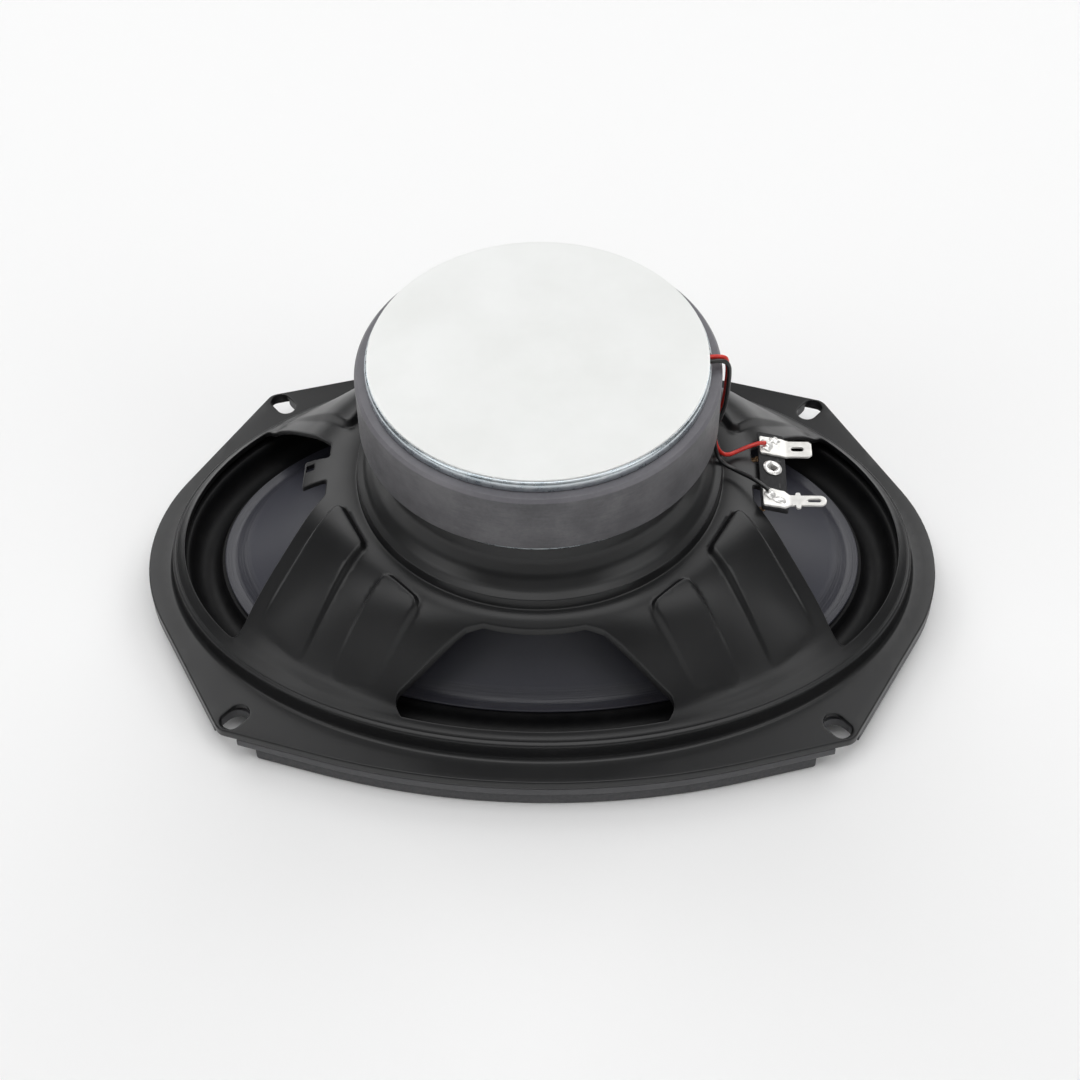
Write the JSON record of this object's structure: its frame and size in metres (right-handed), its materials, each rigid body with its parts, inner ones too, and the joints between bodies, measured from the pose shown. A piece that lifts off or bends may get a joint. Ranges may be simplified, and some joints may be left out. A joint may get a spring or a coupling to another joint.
{
  "type": "coaxial car loudspeaker",
  "caption": "Oval coaxial car loudspeaker lying face down: pressed basket with open windows, ferrite motor, cone and surround, post-mounted tweeter, side terminals and lead wires.",
  "frame": {"origin": "centre of the oval, on the plane of the front gasket's lowest face", "axes": "+X along the long axis towards the terminals, +Y along the short axis, +Z from the front gasket to the back of the magnet"},
  "size_m": [0.2374, 0.167, 0.0939],
  "materials": {
    "basket_paint": "satin powder coat on pressed steel",
    "trim_plastic": "fine matt moulded",
    "gasket_foam": "matt foam rubber",
    "black_rubber": "soft satin",
    "cone_skin": "smooth satin moulded cone",
    "former_film": "amber film",
    "copper_wire": "enamelled copper wire",
    "spider_cloth": "resin-stiffened woven cloth",
    "zinc_plate": "bright zinc plating",
    "ferrite": "ground ferrite",
    "label_film": "pale satin film, blank",
    "fibre_board": "black fibre board",
    "tinned_brass": "bright tin plate",
    "steel": "plated steel",
    "red_insulation": "smooth PVC insulation",
    "black_insulation": "smooth PVC insulation",
    "copper_braid": "braided tinsel cord",
    "tweeter_dome_film": "thin formed film"
  },
  "bodies": {
    "frame": {"basket": "basket_paint", "front_trim_ring": "trim_plastic", "gasket_segment_front": "gasket_foam", "gasket_segment_back": "gasket_foam", "surround": "black_rubber", "spider": "spider_cloth", "front_plate": "zinc_plate", "magnet": "ferrite", "back_plate": "zinc_plate", "rear_label": "label_film", "terminal_board": "fibre_board", "terminal_wide": "tinned_brass", "terminal_narrow": "tinned_brass", "terminal_eyelet": "steel", "wire_red": "red_insulation", "wire_black": "black_insulation", "tinsel_lead_wide": "copper_braid", "tinsel_lead_narrow": "copper_braid", "tweeter_post": "steel", "post_washer": "steel", "post_nut": "steel", "tweeter_housing": "trim_plastic", "tweeter_cup": "steel", "tweeter_magnet": "ferrite", "tweeter_pole_plate": "steel"},
    "cone_assembly": {"cone": "cone_skin", "voice_coil_former": "former_film", "voice_coil_winding": "copper_wire"},
    "tweeter_dome": {"tweeter_diaphragm": "tweeter_dome_film", "tweeter_coil": "copper_wire"}
  },
  "joints": [
    {"name": "cone_travel", "type": "slide", "parent": "frame", "child": "cone_assembly", "axis": [0, 0, 1], "range_m": [-0.004, 0.004], "stiffness_N_per_m": 3000, "deforming": ["surround", "spider", "tinsel_lead_wide", "tinsel_lead_narrow"]},
    {"name": "tweeter_travel", "type": "slide", "parent": "frame", "child": "tweeter_dome", "axis": [0, 0, 1], "range_m": [-0.0004, 0.0004], "stiffness_N_per_m": 2000}
  ]
}
